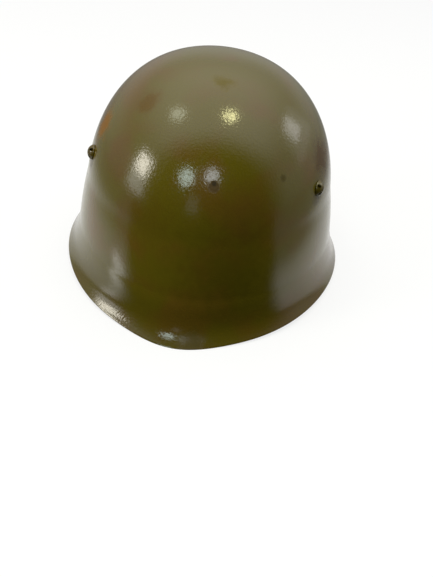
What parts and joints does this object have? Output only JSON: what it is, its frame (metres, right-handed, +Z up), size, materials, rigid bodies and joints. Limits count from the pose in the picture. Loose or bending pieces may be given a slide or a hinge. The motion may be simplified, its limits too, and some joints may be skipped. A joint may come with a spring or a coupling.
{
  "type": "steel combat helmet",
  "caption": "Pressed steel combat helmet with flared skirt, pointed brow, hollow vent rivets, riveted leather liner with tongues and a buckled chin strap in two halves.",
  "frame": {"origin": "middle of the helmet's footprint on the table, in the plane of the rim's lowest edge", "axes": "-Y towards the brow, +X towards the wearer's left, +Z up through the crown"},
  "size_m": [0.2526, 0.284, 0.1645],
  "materials": {
    "olive_paint": "semi-gloss brush-aged olive-brown enamel on steel",
    "band_steel": "dull phosphated steel",
    "rivet_steel": "dull nickel-grey steel",
    "liner_leather": "tan vegetable-tanned leather",
    "strap_leather": "dark brown waxed leather",
    "grey_felt": "grey wool felt"
  },
  "bodies": {
    "helmet": {"shell": "olive_paint", "left_vent_rivet": "olive_paint", "right_vent_rivet": "olive_paint", "rear_vent_rivet": "olive_paint", "left_vent_spacer": "band_steel", "right_vent_spacer": "band_steel", "rear_vent_spacer": "band_steel", "vent_washers": "rivet_steel", "left_band_arm": "band_steel", "right_band_arm": "band_steel", "rear_band_arm": "band_steel", "liner_band": "band_steel", "band_rivets": "rivet_steel", "felt_strip": "grey_felt", "leather_liner": "liner_leather", "split_rivets": "rivet_steel", "left_hanger": "band_steel", "right_hanger": "band_steel", "hanger_rivets": "rivet_steel"},
    "left_ring": {"left_ring": "rivet_steel"},
    "right_ring": {"right_ring": "rivet_steel"},
    "left_strap": {"left_strap": "strap_leather", "left_strap_rivets": "rivet_steel"},
    "right_strap": {"right_strap": "strap_leather", "right_strap_rivet": "rivet_steel"},
    "keeper": {"strap_keeper": "strap_leather"},
    "buckle": {"buckle_frame": "rivet_steel"},
    "roller": {"buckle_roller": "rivet_steel"},
    "prong": {"buckle_prong": "rivet_steel"}
  },
  "joints": [
    {"name": "left_ring_swing", "type": "hinge", "parent": "helmet", "child": "left_ring", "pos_m": [0.10356, 0.00548, 0.04358], "axis": [0, -1, 0], "range_deg": [-45, 15]},
    {"name": "right_ring_swing", "type": "hinge", "parent": "helmet", "child": "right_ring", "pos_m": [-0.10356, 0.00548, 0.04358], "axis": [0, 1, 0], "range_deg": [-45, 15]},
    {"name": "left_strap_swing", "type": "hinge", "parent": "left_ring", "child": "left_strap", "pos_m": [0.10356, 0.00548, 0.02758], "axis": [0, 1, 0], "range_deg": [-70, 40]},
    {"name": "right_strap_swing", "type": "hinge", "parent": "right_ring", "child": "right_strap", "pos_m": [-0.10356, 0.00548, 0.02758], "axis": [0, -1, 0], "range_deg": [-70, 40]},
    {"name": "keeper_slide", "type": "slide", "parent": "left_strap", "child": "keeper", "axis": [-1, 0, 0], "range_m": [-0.008, 0.006]},
    {"name": "buckle_tilt", "type": "hinge", "parent": "left_strap", "child": "buckle", "pos_m": [-0.01644, -0.01452, 0.0033], "axis": [0, 1, 0], "range_deg": [-60, 40]},
    {"name": "prong_swing", "type": "hinge", "parent": "buckle", "child": "prong", "pos_m": [-0.01644, -0.01452, 0.0033], "axis": [0, 1, 0], "range_deg": [0, 90]},
    {"name": "roller_spin", "type": "hinge", "parent": "buckle", "child": "roller", "pos_m": [-0.03244, -0.01452, 0.0033], "axis": [0, 1, 0], "continuous": true}
  ]
}
